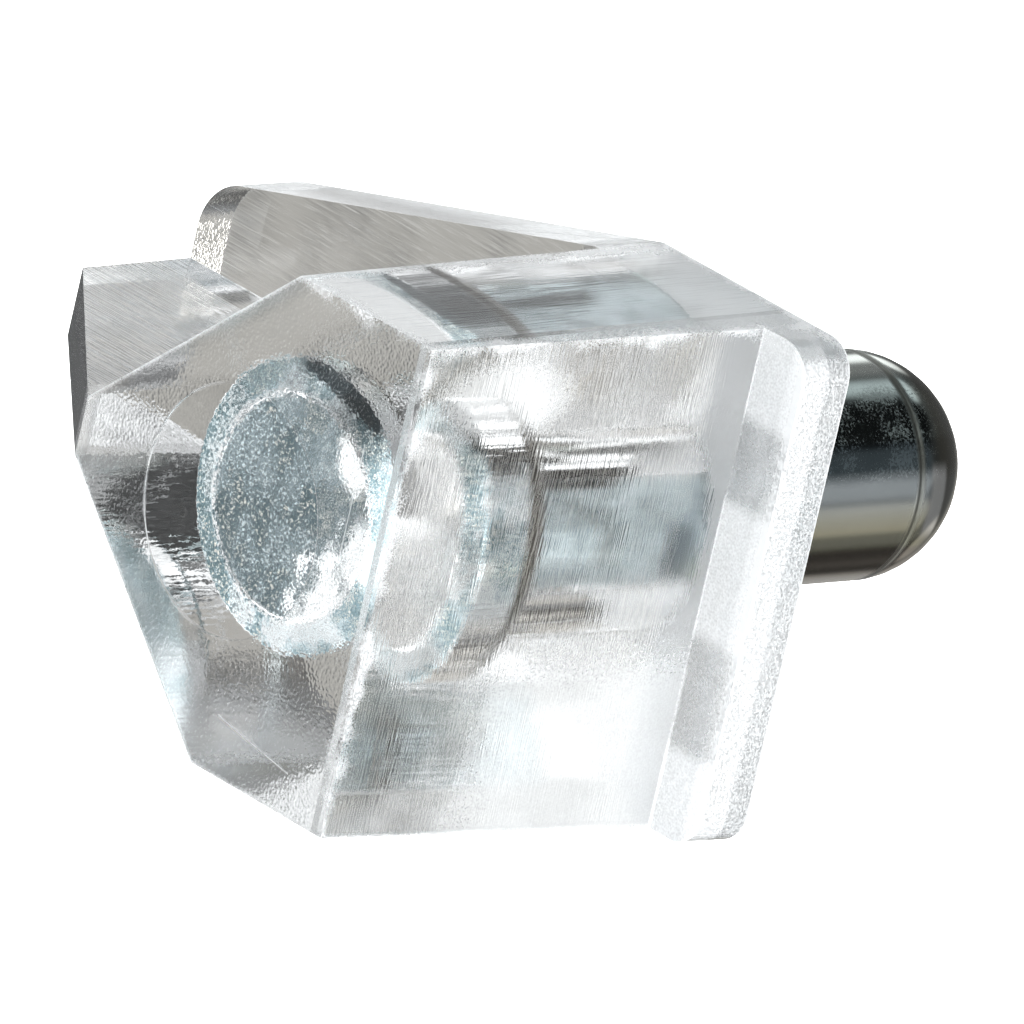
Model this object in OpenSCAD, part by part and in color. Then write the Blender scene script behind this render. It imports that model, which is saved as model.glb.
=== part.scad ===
// Shelf support pin: a clear moulded bracket on the headed steel pin that it is moulded round.
// The pin's axis is Y and meets the wall plane at the origin. Z is up and the shelf lies on the
// seat. Lengths are in millimetres, angles in degrees.

/* [Pin] */
// Diameter of the pin where it enters the cabinet's hole
pin_d = 5; // [4.8:0.1:6.4]
// Straight length of the pin outside the wall plane
pin_straight_l = 7.6; // [5:0.1:12]
// Length of the pin's domed end
dome_l = 2.3; // [1:0.1:2.4]
// Diameter of the shank inside the bracket
shank_d = 4.6; // [3.6:0.1:4.8]
// Length of the shank, from the wall plane to the back of the head
shank_l = 4.9; // [3:0.1:5.6]

/* [Pin head] */
// Diameter of the head that locks the pin in the bracket
head_d = 6.3; // [5.8:0.1:7]
// Thickness of the head
head_t = 2.15; // [1.2:0.05:2.6]
// Chamfer round the back of the head
head_back_chamfer = 0.4; // [0.1:0.05:0.5]
// Diameter of the flat on the front of the head
head_flat_d = 4.8; // [3:0.1:5.6]
// Depth of the bevel round that flat
head_bevel_l = 0.3; // [0.1:0.05:0.6]

/* [Bracket] */
// Length of the bracket, from its front face to the wall plane
bracket_l = 10.4; // [9:0.1:14]
// Width of the bracket at its front face
front_w = 11; // [9.6:0.1:14]
// Draft angle of the bracket's sides and of its gusset
draft = 1.15; // [0.2:0.05:2]
// Height of the seat above the pin's axis at the front face
seat_h = 4.75; // [4:0.05:5.5]
// Angle at which the seat rises towards the wall
seat_angle = 3.2; // [0:0.1:5]
// Height of the side faces' lower edges above the pin's axis
side_h = 0.5; // [-0.5:0.1:1.5]
// Depth of the V-shaped underside below the pin's axis
keel_h = 4.9; // [4.4:0.1:6]
// Rounding of the front face's upper and side edges
front_edge_r = 0.25; // [0.1:0.05:0.6]

/* [Lip] */
// Thickness of the lip behind the shelf's edge
lip_t = 1.35; // [0.8:0.05:2]
// Height of the lip's top above the pin's axis
lip_h = 6.7; // [6.4:0.1:9]
// Rounding of the lip's upper corners
lip_corner_r = 0.8; // [0.2:0.1:0.9]
// Rounding of the lip's edge above the seat
lip_edge_r = 0.35; // [0.1:0.05:0.6]

/* [Wall plate] */
// Thickness of the plate that bears on the wall
plate_t = 1.9; // [1:0.1:3]
// Depth of the plate's foot below the pin's axis
plate_h = 11.4; // [8:0.1:15]
// Width of the plate's foot
foot_w = 5.25; // [4:0.05:8]
// Rounding of the foot's corners
foot_corner_r = 1; // [0.2:0.1:1.8]

/* [Gusset] */
// Thickness of the gusset under the front face
gusset_t = 1.35; // [0.8:0.05:2.4]
// Distance of the gusset's lower corner from the wall plane
gusset_reach = 5; // [3.2:0.1:8]

/* [Mould mark] */
// Diameter of the round mark in the front face
mark_d = 5.4; // [3:0.1:7]
// Depth of the mark
mark_depth = 0.15; // [0.05:0.05:0.4]

/* [Hidden] */
$fn = 96;

// Small extra length by which a cutting shape stands clear of the face it opens
overcut = 0.2;

// Radius of the sphere whose cap is the pin's domed end
dome_r = (pow(pin_d / 2, 2) + pow(dome_l, 2)) / (2 * dome_l);

// Sideways growth of each drafted face from the front face to the wall plane
draft_growth = bracket_l * tan(draft);
wall_w = front_w + 2 * draft_growth;

// Height of the seat where it meets the lip
seat_end_h = seat_h + (bracket_l - lip_t) * tan(seat_angle);

// Slope of the V faces, which join the gusset's sides to the lower edges of the bracket's sides
keel_angle = atan((side_h + keel_h) / ((front_w - gusset_t) / 2 * cos(draft)));

function unit(v) = v / norm(v);

// What is cut from a polygon's corner to leave an arc that is tangent to both of its edges
module corner_waste(before, corner, after, radius) {
    to_before = unit(before - corner);
    to_after = unit(after - corner);
    half_angle = acos(to_before * to_after) / 2;
    reach = radius / tan(half_angle);
    centre = corner + unit(to_before + to_after) * radius / sin(half_angle);
    difference() {
        polygon([corner, corner + to_before * reach, centre, corner + to_after * reach]);
        translate(centre) circle(r = radius);
    }
}

// A polygon with a radius for each corner, or 0 where the corner is sharp
module rounded_polygon(points, radii) {
    last = len(points) - 1;
    difference() {
        polygon(points);
        for (i = [0 : last])
            if (radii[i] > 0)
                corner_waste(points[i == 0 ? last : i - 1], points[i],
                             points[i == last ? 0 : i + 1], radii[i]);
    }
}

// Half outline of the part of the pin inside the bracket, as radius and place along the pin
module moulded_in_profile(mouth) {
    head_front = -shank_l - head_t;
    polygon([
        [0, head_front],
        [head_flat_d / 2, head_front],
        [head_d / 2, head_front + head_bevel_l],
        [head_d / 2, -shank_l - head_back_chamfer],
        [head_d / 2 - head_back_chamfer, -shank_l],
        [shank_d / 2, -shank_l],
        [shank_d / 2, mouth],
        [0, mouth]
    ]);
}

// Half outline of the pin's domed end, a cap of a sphere on the straight part
module dome_profile() {
    intersection() {
        translate([0, pin_straight_l + dome_l - dome_r]) circle(r = dome_r);
        translate([0, pin_straight_l]) square([pin_d / 2, dome_l]);
    }
}

// Turns a half outline about the pin's axis
module turned() {
    rotate([-90, 0, 0]) rotate_extrude() children();
}

// Pushes an outline drawn in Y and Z through the bracket's whole width
module across() {
    rotate([90, 0, 90]) linear_extrude(height = wall_w, center = true) children();
}

// Pushes an outline drawn in X and Z from the wall plane along the bracket
module from_wall(length) {
    rotate([90, 0, 0]) linear_extrude(height = length) children();
}

// Pushes an outline drawn in X and Y through the bracket's whole height
module upwards() {
    translate([0, 0, -plate_h]) linear_extrude(height = plate_h + lip_h) children();
}

// Outline from the side: front face, seat, lip, wall plane, foot and the gusset's edge
module side_outline() {
    rounded_polygon([
        [-bracket_l, -keel_h],
        [-bracket_l, seat_h],
        [-lip_t, seat_end_h],
        [-lip_t, lip_h],
        [0, lip_h],
        [0, -plate_h],
        [-gusset_reach, -plate_h]
    ], [0, front_edge_r, 0, lip_edge_r, 0, 0, 0]);
}

// Outline of the wall face: lip with round corners, straight sides and the tapered foot
module wall_outline() {
    rounded_polygon([
        [-wall_w / 2, lip_h],
        [wall_w / 2, lip_h],
        [wall_w / 2, side_h],
        [foot_w / 2, -plate_h],
        [-foot_w / 2, -plate_h],
        [-wall_w / 2, side_h]
    ], [lip_corner_r, lip_corner_r, 0, foot_corner_r, foot_corner_r, 0]);
}

// Outline from above of a drafted shape that is this wide at the front face
module drafted_outline(width, corner_r) {
    half = width / 2;
    rounded_polygon([
        [-half, -bracket_l],
        [half, -bracket_l],
        [half + draft_growth, 0],
        [-half - draft_growth, 0]
    ], [corner_r, corner_r, 0, 0]);
}

// Everything above the two drafted faces of the V-shaped underside
module above_keel() {
    size = 3 * (bracket_l + wall_w);
    intersection_for (side = [0, 1])
        mirror([side, 0, 0])
            translate([gusset_t / 2, -bracket_l, -keel_h])
                rotate([0, 0, -draft])
                    rotate([0, -keel_angle, 0])
                        translate([-size, -size / 2, 0])
                            cube([2 * size, size, size]);
}

// The bracket's outside: three outlines in common, cleared beside the gusset below the V
module bracket_form() {
    intersection() {
        across() side_outline();
        from_wall(bracket_l) wall_outline();
        upwards() drafted_outline(front_w, front_edge_r);
        union() {
            above_keel();
            upwards() drafted_outline(gusset_t, 0);
            from_wall(plate_t) wall_outline();
        }
    }
}

// Clear plastic bracket, moulded round the pin's shank and head
module support_body() {
    color([0.84, 0.89, 0.92, 0.6])
        difference() {
            bracket_form();
            turned() moulded_in_profile(overcut);
            translate([0, -bracket_l, 0])
                turned()
                    translate([0, -overcut]) square([mark_d / 2, overcut + mark_depth]);
        }
}

// Steel pin: head and shank inside the bracket, straight part and dome outside
module steel_pin() {
    color([0.42, 0.46, 0.48])
        turned() {
            moulded_in_profile(0);
            square([pin_d / 2, pin_straight_l]);
            dome_profile();
        }
}

support_body();
steel_pin();
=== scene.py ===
import math

import bmesh
import bpy
from mathutils import Matrix, Vector


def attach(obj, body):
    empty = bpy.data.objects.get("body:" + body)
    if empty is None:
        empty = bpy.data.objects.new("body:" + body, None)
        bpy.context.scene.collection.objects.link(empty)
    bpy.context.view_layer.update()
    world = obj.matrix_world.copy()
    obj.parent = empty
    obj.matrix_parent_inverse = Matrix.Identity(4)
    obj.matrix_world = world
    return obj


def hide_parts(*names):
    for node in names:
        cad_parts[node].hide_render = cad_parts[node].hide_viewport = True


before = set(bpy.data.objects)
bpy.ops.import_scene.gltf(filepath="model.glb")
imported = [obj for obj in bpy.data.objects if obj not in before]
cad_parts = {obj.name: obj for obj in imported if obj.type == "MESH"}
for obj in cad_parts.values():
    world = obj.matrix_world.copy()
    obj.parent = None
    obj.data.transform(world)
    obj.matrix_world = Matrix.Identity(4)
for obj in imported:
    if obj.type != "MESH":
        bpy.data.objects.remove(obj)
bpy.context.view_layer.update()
scene = bpy.context.scene
mm = 0.001

# ---- Steel pin ----
# A turned steel pin with a bright zinc plating. The bracket is moulded round its flat head and its
# shank, which hold it for good, and its domed end stands out of the wall plane to go into the cabinet.

pin_radius = 2.5 * mm
shank_radius = 2.3 * mm
shank_length = 4.9 * mm
head_radius = 3.15 * mm
head_back_chamfer = 0.4 * mm
head_thick = 2.15 * mm
head_bevel = 0.3 * mm
head_flat = 2.4 * mm
head_grip = 0.25 * mm
head_front = -shank_length - head_thick
shoulder_gap = 0.02 * mm
straight_length = 7.6 * mm
groove_depth = 0.02 * mm
groove_half = 0.06 * mm
groove_place = straight_length - 0.2 * mm
dome_length = 2.3 * mm
dome_radius = (pin_radius ** 2 + dome_length ** 2) / (2 * dome_length)
dome_angle = math.asin(pin_radius / dome_radius)
dome_middle = straight_length + dome_length - dome_radius
dome_steps = 12
turning_steps = 96
pin_round = 0.06 * mm


def inside_profile(gap):
    """Half outline of the head and shank, as radius and place along the pin, with a gap outside it
    everywhere but on the head's two bevels."""
    return [
        (0, head_front - gap),
        (head_flat - gap, head_front - gap),
        (head_flat + gap, head_front + gap),
        (head_radius - gap, head_front + head_bevel + gap),
        (head_radius + gap, head_front + head_bevel + 2 * gap),
        (head_radius + gap, -shank_length - head_back_chamfer - head_grip - gap),
        (head_radius - gap, -shank_length - head_back_chamfer - head_grip),
        (head_radius - gap, -shank_length - head_back_chamfer - gap),
        (head_radius - head_back_chamfer - gap, -shank_length - gap),
        (head_radius - head_back_chamfer - 2 * gap, -shank_length + gap),
        (shank_radius + gap, -shank_length + gap)]


def turned(profile):
    """A closed solid turned about the pin's axis from a half outline."""
    bm = bmesh.new()
    line = [bm.verts.new((radius, place, 0)) for radius, place in profile]
    edges = [bm.edges.new(pair) for pair in zip(line, line[1:])]
    bmesh.ops.spin(bm, geom=line + edges, axis=(0, 1, 0), cent=(0, 0, 0),
                   angle=2 * math.pi, steps=turning_steps, use_merge=True)
    bmesh.ops.remove_doubles(bm, verts=bm.verts[:], dist=1e-7)
    bmesh.ops.recalc_face_normals(bm, faces=bm.faces[:])
    return bm


def as_object(name, bm):
    """Puts a finished bmesh into a new object of the scene."""
    mesh = bpy.data.meshes.new(name)
    bm.to_mesh(mesh)
    bm.free()
    made = bpy.data.objects.new(name, mesh)
    scene.collection.objects.link(made)
    return made


groove = [(pin_radius, groove_place - groove_half), (pin_radius - groove_depth, groove_place),
          (pin_radius, groove_place + groove_half)]
dome = []
for step in range(dome_steps + 1):
    turn = dome_angle * (1 - step / dome_steps)
    dome.append((dome_radius * math.sin(turn), dome_middle + dome_radius * math.cos(turn)))
shoulder = [(shank_radius, shoulder_gap), (pin_radius, shoulder_gap)]
plated_pin = as_object("plated_pin", turned(inside_profile(0) + shoulder + groove + dome))
for face in plated_pin.data.polygons:
    face.use_smooth = True
pin_edges = plated_pin.modifiers.new("edges", "BEVEL")
pin_edges.width = pin_round
pin_edges.segments = 3
pin_edges.angle_limit = math.radians(15)
pin_edges.harden_normals = True


class Signal:
    """A node's output socket. Arithmetic on it adds Math nodes, and node() adds any other node."""

    def __init__(self, tree, socket=None):
        self.tree = tree
        self.socket = socket

    def node(self, kind, settings=None, inputs=None, output=0):
        """Adds a node, sets it, then gives its sockets their values or links."""
        made = self.tree.nodes.new(kind)
        for name, value in (settings or {}).items():
            setattr(made, name, value)
        for name, value in (inputs or {}).items():
            if isinstance(value, Signal):
                value.feeds(made.inputs[name])
            else:
                made.inputs[name].default_value = value
        return Signal(self.tree, made.outputs[output])

    def feeds(self, socket):
        self.tree.links.new(self.socket, socket)

    def math(self, operation, *values):
        return self.node("ShaderNodeMath", {"operation": operation}, dict(enumerate(values)))

    def vector(self, operation, *values, output=0):
        return self.node("ShaderNodeVectorMath", {"operation": operation},
                         dict(enumerate((self, *values))), output)

    def __add__(self, other):
        return self.math("ADD", self, other)

    __radd__ = __add__

    def __sub__(self, other):
        return self.math("SUBTRACT", self, other)

    def __rsub__(self, other):
        return self.math("SUBTRACT", other, self)

    def __mul__(self, other):
        return self.math("MULTIPLY", self, other)

    __rmul__ = __mul__

    def __truediv__(self, other):
        return self.math("DIVIDE", self, other)

    def __pow__(self, other):
        return self.math("POWER", self, other)

    def smooth(self, start, end):
        """0 before start, 1 after end and an eased slope between."""
        return self.node("ShaderNodeMapRange", {"interpolation_type": "SMOOTHSTEP"},
                         {"Value": self, "From Min": start, "From Max": end})

    def fading(self, start, end):
        """1 before start, 0 after end and an eased slope between."""
        return 1 - self.smooth(start, end)

    def near(self, middle, core, rim):
        """1 within the core's distance of a value, fading to 0 at the rim's distance."""
        return (self - middle).size().fading(core, rim)

    def smallest(self, other):
        return self.math("MINIMUM", self, other)

    def largest(self, other):
        return self.math("MAXIMUM", self, other)

    def size(self):
        return self.math("ABSOLUTE", self)

    def blend(self, first, second):
        """A colour mixed from two colours by this signal."""
        return self.node("ShaderNodeMix", {"data_type": "RGBA"},
                         {0: self, 6: first, 7: second}, output=2)

    def noise(self, scale, detail=0, roughness=0.5):
        """Cloudy noise about 0.5, at a number of features to the unit of this vector."""
        return self.node("ShaderNodeTexNoise", None,
                         {"Vector": self, "Scale": scale, "Detail": detail, "Roughness": roughness})

    def axis(self, letter):
        return self.node("ShaderNodeSeparateXYZ", None, {0: self}, letter)

    def stretched(self, x, y, z):
        return self.vector("MULTIPLY", (x, y, z))


def rgb(red, green, blue):
    return (red, green, blue, 1)


def measured(graph):
    """The shaded point in millimetres: as a vector, across, along and above the pin's axis, and
    its distance from that axis."""
    place = graph.node("ShaderNodeTexCoord", output="Object").stretched(1 / mm, 1 / mm, 1 / mm)
    across, along, height = (place.axis(letter) for letter in "XYZ")
    return place, across, along, height, (across * across + height * height) ** 0.5


def coated(colour, coats):
    """A colour with coats over it, each a mask and the colour that it lays on."""
    for mask, coat in coats:
        colour = mask.blend(colour, coat)
    return colour


white = rgb(1.0, 1.0, 1.0)
warm_white = rgb(1.0, 1.0, 0.98)
pale_zinc = rgb(0.77, 0.91, 0.96)
blue_zinc = rgb(0.25, 0.38, 0.42)
plain_zinc = rgb(0.62, 0.67, 0.68)
painted_shade_zinc = rgb(0.20, 0.30, 0.32)
crescent_side_tone = rgb(0.10, 0.14, 0.15)
crescent_black = rgb(0.02, 0.03, 0.035)
flat_painted_dark = rgb(0.01, 0.03, 0.035)
pit_blue = rgb(0.08, 0.14, 0.17)
painted_shade_brown = rgb(0.10, 0.085, 0.065)
painted_shade_blue = rgb(0.06, 0.10, 0.13)
dome_painted_dark = rgb(0.15, 0.14, 0.11)
groove_painted_shade = rgb(0.06, 0.06, 0.05)
warm_sparkle = rgb(1.0, 0.97, 0.90)
cool_sparkle = rgb(0.90, 0.98, 1.0)
tip_grey = rgb(0.62, 0.67, 0.69)
tip_straw = rgb(0.62, 0.60, 0.46)
tip_brown = rgb(0.40, 0.36, 0.32)
tip_edge = rgb(0.50, 0.50, 0.50)
tip_black = rgb(0.06, 0.08, 0.09)
tip_green = rgb(0.30, 0.36, 0.35)
tip_white = rgb(0.95, 1.0, 0.94)

steel = bpy.data.materials.new("zinc_plated_steel")
steel.use_nodes = True
metal = steel.node_tree.nodes["Principled BSDF"]
metal.inputs["Metallic"].default_value = 1

graph = Signal(steel.node_tree)
place, across, along, height, from_axis = measured(graph)
flat_edge = head_flat / mm
head_back = -shank_length / mm
pin_shoulder = straight_length / mm
on_head = along.fading(head_back - 0.03, head_back + 0.02)
on_flat = on_head * from_axis.fading(flat_edge + 0.04, flat_edge + 0.08)
on_tip = along.smooth(-1, 1)
on_dome = along.smooth(pin_shoulder - 0.1, pin_shoulder + 0.6)
in_groove = along.near(groove_place / mm, 0.05, 0.18)

# the plating's clouds and crystals and its wear on the head, and painted shade and a painted
# highlight on the head and the shank
clouds = place.stretched(1, 1, 1.6).noise(0.8, 2, 0.65)
grains = place.noise(16, 1, 0.7)
mottled = clouds * 0.75 + grains * 0.25
few_grains = grains.fading(0.45, 0.6)
bare = mottled.smooth(0.48, 0.56) * on_head * (1 - on_flat)
# the lower side of the head's rim, painted darker as painted shade
painted_shade_low_side = height.fading(-1.6, -0.3) * from_axis.smooth(2.52, 2.6) * on_head * few_grains
sparkles = grains.smooth(0.54, 0.64) * (0.15 + on_head * 0.8)
sparkle = clouds.smooth(0.45, 0.5).blend(warm_sparkle, cool_sparkle)
dark_grains = grains.fading(0.3, 0.44) * on_head
# a white ring painted round the edge of the head's flat, as a painted highlight
painted_highlight_rim = from_axis.near(flat_edge + 0.02, 0.04, 0.13) * on_head * grains.smooth(0.44, 0.52)
# the back of the head's rim, above its lowest side, painted brown as painted shade
painted_shade_back_rim = (on_head * along.smooth(head_back - 0.7, head_back - 0.6) * from_axis.smooth(2.5, 2.7)
            * height.smooth(-1.4, -0.6))
# the shank just inside the wall face, painted dark blue as painted shade
painted_shade_by_wall = along.smooth(-1.25, -0.95) * along.fading(-0.3, -0.1) * across.near(0.1, 0.4, 1.0)

# 1 on the side of the head that the dark crescent is painted on, -1 on the other
towards_crescent = (height * 0.225 - across * 0.974) / from_axis.largest(0.1)
# the head's outer ring darker on the crescent's side
crescent_side_dark = on_head * from_axis.smooth(2.25, 2.4) * towards_crescent.smooth(0.72, 0.9) * few_grains
# a dark crescent painted on the head's rim, as painted shade
crescent = (on_head * (from_axis - (1 - towards_crescent) * 2).smooth(2.72, 2.79)
            * towards_crescent.smooth(0.87, 0.92))

# patches of the head's flat that are painted bright and lean a little towards the lamp, so that
# blobs of light show where a flat face gives none: a crescent low down, and a round one above it
lean_across = 3.5
lean_up = 5.2
low_up = 2.0
high_across = -1.6
high_up = 1.5
low_patches = ((height * 0.95 + across * 0.1 + (mottled - 0.5) * 6 + (grains - 0.5)).smooth(1.2, 1.6)
               * across.smooth(-0.9, -0.1) * on_flat)
high_patch = (((across - high_across) ** 2 + (height - high_up) ** 2
               + (mottled - 0.5) * 2).fading(0.15, 0.4) * on_flat)
painted_glint_patches = low_patches.largest(high_patch)
leaning = (low_patches * (across * lean_across + (height - low_up) * lean_up)
           + high_patch * ((across - high_across) * lean_across + (height - high_up) * lean_up))

# bands of colour painted along the free end, by their place across it, and a painted glint on its
# dome: they stand in for bands of light that the studio doesn't give there
downward = across * 0.928 + height * 0.368
painted_reflection_bands = coated(
    downward.smooth(0.6, 1.5).blend(tip_grey, tip_straw), [
        (downward.smooth(1.68, 1.85), tip_brown),
        (downward.smooth(2.25, 2.42), tip_edge),
        (downward.fading(0.0, 0.42), tip_black),
        (downward.fading(-0.7, -0.45), tip_green),
        (downward.fading(-2.1, -1.8), tip_white)])
dome_glint = along.near(pin_shoulder + 0.4, 0.15, 0.35) * downward.near(0.8, 0.5, 0.9)

zinc = coated(
    mottled.smooth(0.36, 0.62).blend(blue_zinc, pale_zinc), [
        ((1 - on_head) * 0.5, plain_zinc),
        (bare * 0.8, white),
        (painted_shade_low_side * 0.8, painted_shade_zinc),
        # the head's flat painted nearly black, as a painted dark reflection
        (on_flat * 0.45, flat_painted_dark),
        (sparkles, sparkle),
        (dark_grains * 0.6, pit_blue),
        (painted_highlight_rim, white),
        (crescent_side_dark * 0.75, crescent_side_tone),
        (crescent * 0.95, crescent_black),
        (painted_glint_patches * 0.9, white),
        (painted_shade_back_rim * 0.92, painted_shade_brown),
        (painted_shade_by_wall * 0.8, painted_shade_blue),
        (on_tip * 0.95, painted_reflection_bands),
        # the dome painted dark brown, as a painted dark reflection
        (on_dome * 0.85, dome_painted_dark),
        (dome_glint * 0.9, warm_white),
        # the groove painted nearly black, as painted shade
        (in_groove * 0.85, groove_painted_shade)])
zinc.feeds(metal.inputs["Base Color"])

pits = (((mottled - 0.5) * 2 + grains).smooth(0.35, 0.95) * on_tip
        * downward.smooth(-1.9, -1.4) * downward.fading(0.0, 0.5))
polish = 0.14 + on_head * 0.12 + pits * 0.3 + in_groove * 0.3 - painted_glint_patches * 0.2
polish.feeds(metal.inputs["Roughness"])
bumps = graph.node("ShaderNodeBump", None,
                   {"Strength": 1.0, "Distance": 0.01 * mm,
                    "Height": grains * (0.02 + on_head * 0.5) + leaning})
bumps.feeds(metal.inputs["Normal"])

plated_pin.data.materials.append(steel)
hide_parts("steel_pin")
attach(plated_pin, "root")

# ---- Clear bracket ----
# One clear plastic moulding: the block that carries the shelf, its lip, the plate that bears on
# the cabinet's wall and the gusset between them. Its drafted sides let it leave the mould, and it
# shrinks a hair off the metal as it cools, so light turns back at the gap round the pin.

bracket_length = 10.4 * mm
front_half = 5.5 * mm
draft = math.radians(1.15)
seat_front = 4.75 * mm
seat_slope = math.radians(3.2)
side_foot = 0.5 * mm
keel = -4.9 * mm
lip_thick = 1.35 * mm
lip_top = 6.7 * mm
lip_corner = 0.8 * mm
plate_thick = 1.9 * mm
plate_foot = -11.4 * mm
foot_half = 2.625 * mm
foot_corner = 1.0 * mm
gusset_half = 0.675 * mm
gusset_reach = 5.0 * mm
mark_radius = 2.7 * mm
mark_depth = 0.03 * mm
air_gap = 0.03 * mm
pocket_mouth = 1 * mm
wall_half = front_half + bracket_length * math.tan(draft)
lip_foot = seat_front + (bracket_length - lip_thick) * math.tan(seat_slope)
corner_steps = 10
same = 1e-6  # places nearer than this are one


def cut_flush(bm, point, outward):
    """Cuts off what lies outward of a plane, and closes the cut."""
    cut = bmesh.ops.bisect_plane(
        bm, geom=bm.verts[:] + bm.edges[:] + bm.faces[:], dist=1e-7,
        plane_co=point, plane_no=outward, clear_outer=True)
    edges = [g for g in cut["geom_cut"] if isinstance(g, bmesh.types.BMEdge)]
    bmesh.ops.holes_fill(bm, edges=edges, sides=0)


def round_corners(bm, height, radius):
    """Rounds the corners whose edges run along the pin at a height."""
    edges = []
    for edge in bm.edges:
        a, b = (v.co for v in edge.verts)
        level = abs(a.z - height) < same and abs(b.z - height) < same
        if level and abs(a.x - b.x) < abs(a.y - b.y):
            edges.append(edge)
    bmesh.ops.bevel(bm, geom=edges, offset=radius, offset_type="OFFSET", segments=corner_steps,
                    profile=0.5, affect="EDGES", material=-1, clamp_overlap=True)


# the outline from the side, pushed across the whole width
side_view = [
    (-bracket_length, keel), (-bracket_length, seat_front), (-lip_thick, lip_foot),
    (-lip_thick, lip_top), (0, lip_top), (0, plate_foot), (-gusset_reach, plate_foot)]
body = bmesh.new()
outline = body.faces.new([body.verts.new((-wall_half, y, z)) for y, z in side_view])
pushed = bmesh.ops.extrude_face_region(body, geom=[outline])
bmesh.ops.translate(body, vec=(2 * wall_half, 0, 0),
                    verts=[g for g in pushed["geom"] if isinstance(g, bmesh.types.BMVert)])
bmesh.ops.recalc_face_normals(body, faces=body.faces[:])

# drafted sides, the wall plate's taper to its foot, and the round corners of lip and foot
for side in (1, -1):
    cut_flush(body, (side * front_half, -bracket_length, 0),
              (side * math.cos(draft), -math.sin(draft), 0))
    cut_flush(body, (side * wall_half, 0, side_foot),
              (side * (side_foot - plate_foot), 0, foot_half - wall_half))
round_corners(body, lip_top, lip_corner)
round_corners(body, plate_foot, foot_corner)
clear_bracket = as_object("clear_bracket", body)

# what is cleared on each side of the gusset, below the drafted faces of the V
keel_angle = math.atan2(side_foot - keel, (front_half - gusset_half) * math.cos(draft))
v_face = (Matrix.Rotation(-draft, 3, "Z") @ Matrix.Rotation(-keel_angle, 3, "Y")
          @ Vector((0, 0, 1)))
waste_middle = keel - 3 * mm
cutters = []
for side in (1, -1):
    waste = bmesh.new()
    bmesh.ops.create_cube(waste, size=2 * bracket_length)
    bmesh.ops.translate(waste, verts=waste.verts[:],
                        vec=(bracket_length, -plate_thick - bracket_length, waste_middle))
    cut_flush(waste, (gusset_half, -bracket_length, 0), (-math.cos(draft), math.sin(draft), 0))
    cut_flush(waste, (gusset_half, -bracket_length, keel), v_face)
    bmesh.ops.scale(waste, vec=(side, 1, 1), verts=waste.verts[:])
    bmesh.ops.recalc_face_normals(waste, faces=waste.faces[:])
    cutters.append(as_object("waste", waste))

# the round mark of the mould's core pin, and the pocket of the steel pin
mark = bmesh.new()
bmesh.ops.create_cone(mark, cap_ends=True, segments=turning_steps, radius1=mark_radius,
                      radius2=mark_radius, depth=2 * mark_depth,
                      matrix=Matrix.Translation((0, -bracket_length, 0))
                      @ Matrix.Rotation(math.pi / 2, 4, "X"))
cutters.append(as_object("mark", mark))
mouth = [(shank_radius + air_gap, pocket_mouth), (0, pocket_mouth)]
cutters.append(as_object("pocket", turned(inside_profile(air_gap) + mouth)))

for tool in cutters:
    cut = clear_bracket.modifiers.new("cut", "BOOLEAN")
    cut.operation = "DIFFERENCE"
    cut.solver = "EXACT"
    cut.object = tool
evaluated = clear_bracket.evaluated_get(bpy.context.evaluated_depsgraph_get())
cut_mesh = bpy.data.meshes.new_from_object(evaluated)
clear_bracket.modifiers.clear()
clear_bracket.data = cut_mesh
for tool in cutters:
    bpy.data.objects.remove(tool)

body = bmesh.new()
body.from_mesh(cut_mesh)
bmesh.ops.remove_doubles(body, verts=body.verts[:], dist=same)
bmesh.ops.dissolve_limit(body, angle_limit=math.radians(0.5),
                         verts=body.verts[:], edges=body.edges[:])

# rounding of each edge, as a share of the largest
edge_round = 0.35 * mm
seat_round = 0.3 * mm
front_round = 0.22 * mm
plain_round = 0.12 * mm
wall_round = 0.04 * mm
mark_round = 0.01 * mm
crease = math.radians(14)
front_corner = math.radians(28.6)
close = 10 * same


def rounding(edge):
    """How much an edge is rounded, by where its middle lies."""
    middle = (edge.verts[0].co + edge.verts[1].co) / 2
    on_mark = middle.xz.length < mark_radius + close
    on_side = front_half - same < abs(middle.x) < wall_half
    if on_mark and middle.y < -bracket_length + 2 * mark_depth:
        return mark_round
    if on_side and middle.z > seat_front and middle.y < -lip_thick - same:
        return seat_round
    if abs(middle.z - lip_top) < same and abs(middle.y + lip_thick) < same:
        return edge_round
    if middle.y > -same:
        return wall_round
    if middle.y < -bracket_length + close and edge.calc_face_angle() > front_corner:
        return front_round
    return plain_round


weight = body.edges.layers.float.new("bevel_weight_edge")
for edge in body.edges:
    if len(edge.link_faces) == 2 and edge.calc_face_angle() >= crease:
        edge[weight] = rounding(edge) / edge_round
for face in body.faces:
    face.smooth = True
body.to_mesh(cut_mesh)
body.free()

bevel = clear_bracket.modifiers.new("bevel", "BEVEL")
bevel.width = edge_round
bevel.segments = 4
bevel.limit_method = "WEIGHT"
bevel.harden_normals = True

glass = bpy.data.materials.new("clear_plastic")
glass.use_nodes = True
plastic = glass.node_tree.nodes["Principled BSDF"]
plastic.inputs["Transmission Weight"].default_value = 1
plastic.inputs["IOR"].default_value = 1.5

clear_tint = rgb(0.979, 0.985, 0.987)
frosted_tint = rgb(0.987, 0.99, 0.99)
skin_white = rgb(0.96, 0.97, 0.98)

graph = Signal(glass.node_tree)
place, across, along, height, from_axis = measured(graph)
front_face = -bracket_length / mm
from_middle = across.size()
from_front = along - front_face
mark_edge = mark_radius / mm
lip_face = -lip_thick / mm
lip_height = lip_top / mm
grit = place.noise(21)
blotches = place.noise(1.7)

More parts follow.
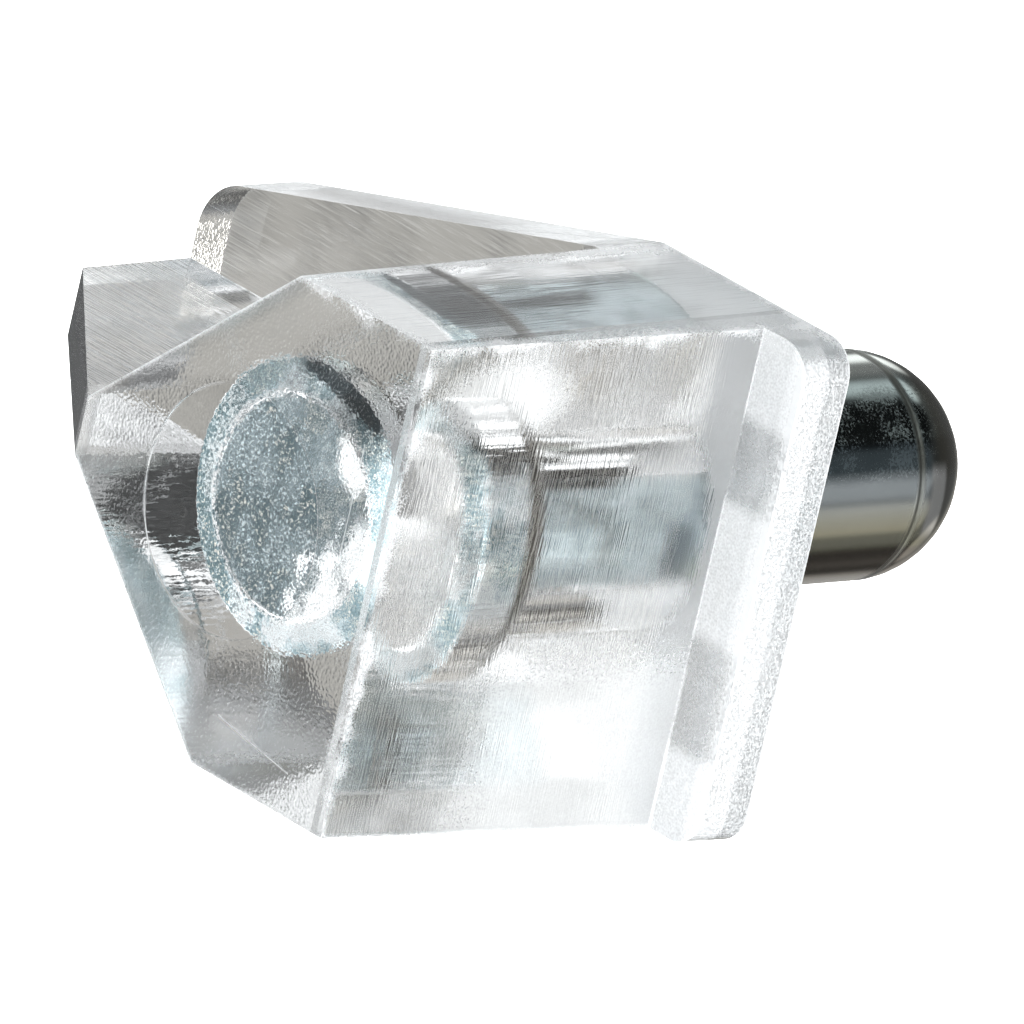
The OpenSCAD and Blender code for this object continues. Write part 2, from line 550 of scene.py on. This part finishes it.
# how near a point is to each outer plane of the block, in millimetres
block_planes = {
    "front": from_front,
    "seat": seat_front / mm - height + from_front * math.tan(seat_slope),
    "side": front_half / mm - from_middle + from_front * math.tan(draft),
    "keel": ((height - keel / mm) * math.cos(keel_angle)
             - (from_middle - gusset_half / mm) * math.sin(keel_angle)),
    "wall": 0 - along}

# the chipped line where two planes meet, wider where the corner has been handled
handled = height.smooth(0, 2) * across.fading(4.4, 5.2)
ragged = (grit - 0.5) * (0.15 + handled * 0.65) + (blotches - 0.5) * (0.05 + handled * 0.7)
faces = {}
near_faces = 0
for name, depth in block_planes.items():
    faces[name] = depth.size().fading(0.02, 0.06)
    near_faces = near_faces + (depth.size() + ragged).fading(0, 0.13 + handled * 0.13)
on_edge = (near_faces - 1).largest(0).smallest(1)
chips = grit.smooth(0.42, 0.55)
upper = height.smooth(-1, 1.5)

# the lip, with two clear windows in its worn face
on_lip = height.smooth(lip_height - 0.3, lip_height - 0.1) * (1 - faces["wall"])
on_lip_face = along.near(lip_face, 0.02, 0.06) * height.smooth(4.6, 5.4)
lip_windows = across.near(2.5, 1.0, 1.5) + across.near(-2.75, 0.7, 1.15)
lip_edge = height.smooth(lip_height - 0.55, lip_height - 0.35) * along.near(-1.0, 0.3, 0.45)

# the mould's texture round its mark, and the worn line at the mark's edge
around_mark = from_axis.smooth(mark_edge - 0.02, mark_edge + 0.04)
textured = faces["front"] * around_mark * grit.smooth(0.45, 0.6)
mark_line = (faces["front"] * from_axis.near(mark_edge, 0.02, 0.05)
             * (across * 0.33 - height).smooth(-0.6, 1.6) * blotches.smooth(0.3, 0.5))


def scratch(start, end, half_width):
    """1 on a straight scratch between two points, given in millimetres."""
    run = Vector(end) - Vector(start)
    from_start = place.vector("SUBTRACT", start)
    share = from_start.vector("DOT_PRODUCT", run / run.length_squared, output="Value")
    share = share.largest(0).smallest(1)
    nearest = share.blend(rgb(0, 0, 0), rgb(*run))
    gap = from_start.vector("SUBTRACT", nearest).vector("LENGTH", output="Value")
    return gap.fading(half_width / 3, half_width)


def on_seat(across, along):
    """A point of the seat."""
    return (across, along, seat_front / mm + (along - front_face) * math.tan(seat_slope))


scratches = (scratch(on_seat(1.0, -7.91), on_seat(4.43, -9.92), 0.035)
             + scratch((4.23, front_face, 0.99), (4.59, front_face, 3.37), 0.025)
             + scratch((-2.86, front_face, 3.44), (-0.27, front_face, 3.37), 0.02))

# where the shelf has rubbed the seat milky: one long patch, and one in a corner
rubbed = ((across + (grit - 0.5) * 1.2).smooth(0.6, 2.4)
          * (along + blotches + (grit - 0.5) * 1.2).smooth(-8.3, -5.4))
corner_across = -4.3
corner_along = -8.1
from_corner = (across - corner_across) ** 2 + ((along - corner_along) * 0.5) ** 2
rubbed_corner = (from_corner + grit - 0.5).fading(0.2, 1.2)
milky_seat = faces["seat"] * rubbed.largest(rubbed_corner) * (0.85 + grit * 0.3)

# a white matt haze in the plastic where it has let go of the head's flat, placed there as a painted
# highlight
pocket_end = (head_front - air_gap) / mm
haze_and_highlight = (along.near(pocket_end, 0.01, 0.03) * from_axis.fading(flat_edge - 0.05, flat_edge + 0.05)
        * (height * 0.95 + across * 0.1 + (blotches - 0.5) * 3 + (grit - 0.5) * 4).smooth(1.0, 1.9))

frost = (on_edge * 0.3 + on_lip * 0.3 + on_lip_face * 0.1 + textured * 0.05 + scratches * 0.3
         + faces["wall"] * (0.04 + upper * 0.3) + faces["side"] * 0.1 + faces["seat"] * 0.03
         + faces["keel"] * (0.05 + 0.15 * height.smooth(-3.6, -2)))
polish = (0.02 + frost).smallest(0.5)
polish.feeds(plastic.inputs["Roughness"])
tint = frost.smallest(1).blend(clear_tint, frosted_tint)
tint.feeds(plastic.inputs["Base Color"])

# drawing marks: across the seat and the lip, along the sides, and down the plate and the gusset
plate_face = -plate_thick / mm
low = height.fading(-5.5, -4.5).largest(
    along.smooth(plate_face - 0.06, plate_face - 0.02) * height.fading(0, 0.5))
streak_scale = height.smooth(4.4, 4.6).blend(rgb(14, 0.8, 14), rgb(2, 27, 27))
streak_scale = low.blend(streak_scale, rgb(16, 16, 1))
streaks = place.vector("MULTIPLY", streak_scale).noise(1)
waves = place.stretched(1, 0.4, 1).noise(0.5)
relief = waves * 1.5 + streaks * (around_mark * 0.22 + 0.06)
bumps = graph.node("ShaderNodeBump", None,
                   {"Strength": 1.0, "Distance": 0.02 * mm, "Height": relief})
bumps.feeds(plastic.inputs["Normal"])

# the matt skin of worn edges, the lip and the ground wall face
skin = graph.node("ShaderNodeBsdfPrincipled", None,
                  {"Base Color": skin_white, "Roughness": 0.5}, "BSDF")
matt = (haze_and_highlight * 0.15 + milky_seat * 0.36 + mark_line * 0.22 + scratches * 0.3
        + on_lip_face * (0.4 + grit * 0.4 - lip_windows * 0.45) + lip_edge * 0.25
        + on_lip * (0.08 + 0.4 * grit.smooth(0.42, 0.56))
        + on_edge * (0.2 + 0.65 * chips) + faces["wall"] * upper * 0.6)
mixed = graph.node("ShaderNodeMixShader", None,
                   {0: matt.smallest(0.85), 1: Signal(glass.node_tree, plastic.outputs["BSDF"]),
                    2: skin}, "Shader")
mixed.feeds(glass.node_tree.nodes["Material Output"].inputs["Surface"])

clear_bracket.data.materials.clear()
clear_bracket.data.materials.append(glass)
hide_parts("support_body")
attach(clear_bracket, "root")

# ---- Studio ----
# A pale floor well below the part and white all round, which only the camera sees. The plastic and
# the metal are lit by a tent instead, whose bright and dim patches give them their greys.

floor_radius = 3.0
floor_drop = 0.06
floor = bmesh.new()
bmesh.ops.create_circle(floor, cap_ends=True, segments=64, radius=floor_radius)
bmesh.ops.translate(floor, verts=floor.verts[:], vec=(0, 0, -floor_drop))
studio_floor = as_object("studio_floor", floor)
studio_floor.visible_transmission = False
studio_floor.visible_glossy = False
studio_floor.visible_diffuse = False
studio_floor.visible_shadow = False
pale = bpy.data.materials.new("pale_floor")
pale.use_nodes = True
paint = pale.node_tree.nodes["Principled BSDF"]
paint.inputs["Base Color"].default_value = white
paint.inputs["Emission Color"].default_value = white
paint.inputs["Emission Strength"].default_value = 1
pale.cycles.emission_sampling = "NONE"
studio_floor.data.materials.append(pale)

world = bpy.data.worlds.new("studio")
scene.world = world
world.use_nodes = True
world.cycles.sampling_method = "NONE"
background = world.node_tree.nodes["Background"]

graph = Signal(world.node_tree)
direction = graph.node("ShaderNodeTexCoord", output="Generated")
rise = direction.axis("Z")


def cool(level):
    """A brightness of the tent's cool white."""
    return rgb(level, level * 1.02, level * 1.03)


def warm(level):
    """A brightness of the warmer white on the right."""
    return rgb(level, level * 0.97, level * 0.9)


def lobe(azimuth, elevation, core, rim):
    """1 within an angle of a direction, fading to 0 at a wider one. All in degrees."""
    azimuth, elevation = math.radians(azimuth), math.radians(elevation)
    middle = (math.cos(elevation) * math.cos(azimuth), math.cos(elevation) * math.sin(azimuth),
              math.sin(elevation))
    closeness = direction.vector("DOT_PRODUCT", middle, output="Value")
    return closeness.smooth(math.cos(math.radians(rim)), math.cos(math.radians(core)))


# the tent: a dim belt between a bright top and bottom, a screen in front and one on the right, a
# dark back and a pale table top
tent = coated(
    rise.size().smooth(0.35, 0.6).blend(cool(0.74), cool(2.2)), [
        (lobe(-85, 12, 30, 42), cool(2.0)),
        (lobe(6, 4, 24, 36), cool(2.0)),
        (direction.axis("Y").smooth(0.4, 0.5), cool(0.165)),
        ((0 - rise).smooth(0.6, 0.75), cool(1.28))])

# Patches of the tent: azimuth, elevation, core and rim in degrees, and light. Most of these numbers
# were fitted by a scratch program, rounded, and in part changed by hand. No such things were
# seen: the names are invented, to tell the patches apart.
standing = {
    "fold above the front screen": (-87, 49, 9, 17, cool(0.65)),
    "lamp": (60, 57, 8, 12, warm(3.8)),
    "black cloth on the left": (139, 16, 20, 30, cool(0.01)),
    "dim window": (103, 45, 14, 21, cool(0.36)),
    "shade beside the lamp": (61, 35, 8, 14, warm(0.42)),
    "dark floor behind": (103, -38, 15, 25, cool(0.13)),
    "gap under the cloth": (129, -9, 5, 11, cool(1.35)),
    "black card on the right": (41, 1, 12, 20, warm(0.05)),
    "the card's lit edge": (56, -2, 6, 13, warm(0.52)),
    "shelf under the card": (56, -33, 12, 24, warm(0.43)),
    "the shelf's shadow": (62, -53, 6, 12, cool(0.07)),
    "small reflector": (83, -51, 4, 9, cool(0.9)),
    "second reflector": (111, -37, 5, 10, cool(1.1)),
    "grey stand in front": (-61, -32, 11, 18, cool(0.52)),
    "the stand's foot": (-59, -59, 11, 20, cool(0.24)),
    "black card in front": (-80, -18, 10, 19, cool(0.04)),
    "dark doorway": (-124, -21, 17, 29, cool(0.15)),
    "sheet by the stand's foot": (-69, -53, 5, 10, cool(1.85))}
tent = coated(tent, [(lobe(*where), light) for *where, light in standing.values()])
seen = graph.node("ShaderNodeLightPath", output="Is Camera Ray").blend(tent, white)
seen.feeds(background.inputs["Color"])

# a long lens half a metre away, rolled so that the pin lies to the right
camera_distance = 510.64 * mm
camera_data = bpy.data.cameras.new("camera")
camera_data.lens = 843.75
camera_data.sensor_width = 36
camera_data.clip_start = 0.01
camera_data.clip_end = 10
camera = bpy.data.objects.new("camera", camera_data)
azimuth, elevation, roll = math.radians(-24.12), math.radians(41.71), math.radians(119.56)
aim = Vector((0.916, -1.258, -0.872)) * mm
camera.matrix_world = (
    Matrix.Translation(aim) @ Matrix.Rotation(azimuth, 4, "Z")
    @ Matrix.Rotation(math.pi / 2 - elevation, 4, "X") @ Matrix.Rotation(roll, 4, "Z")
    @ Matrix.Translation((0, 0, camera_distance)))
scene.collection.objects.link(camera)
scene.camera = camera
scene.view_settings.view_transform = "Standard"
scene.cycles.max_bounces = 14
scene.cycles.transmission_bounces = 14
scene.cycles.glossy_bounces = 12
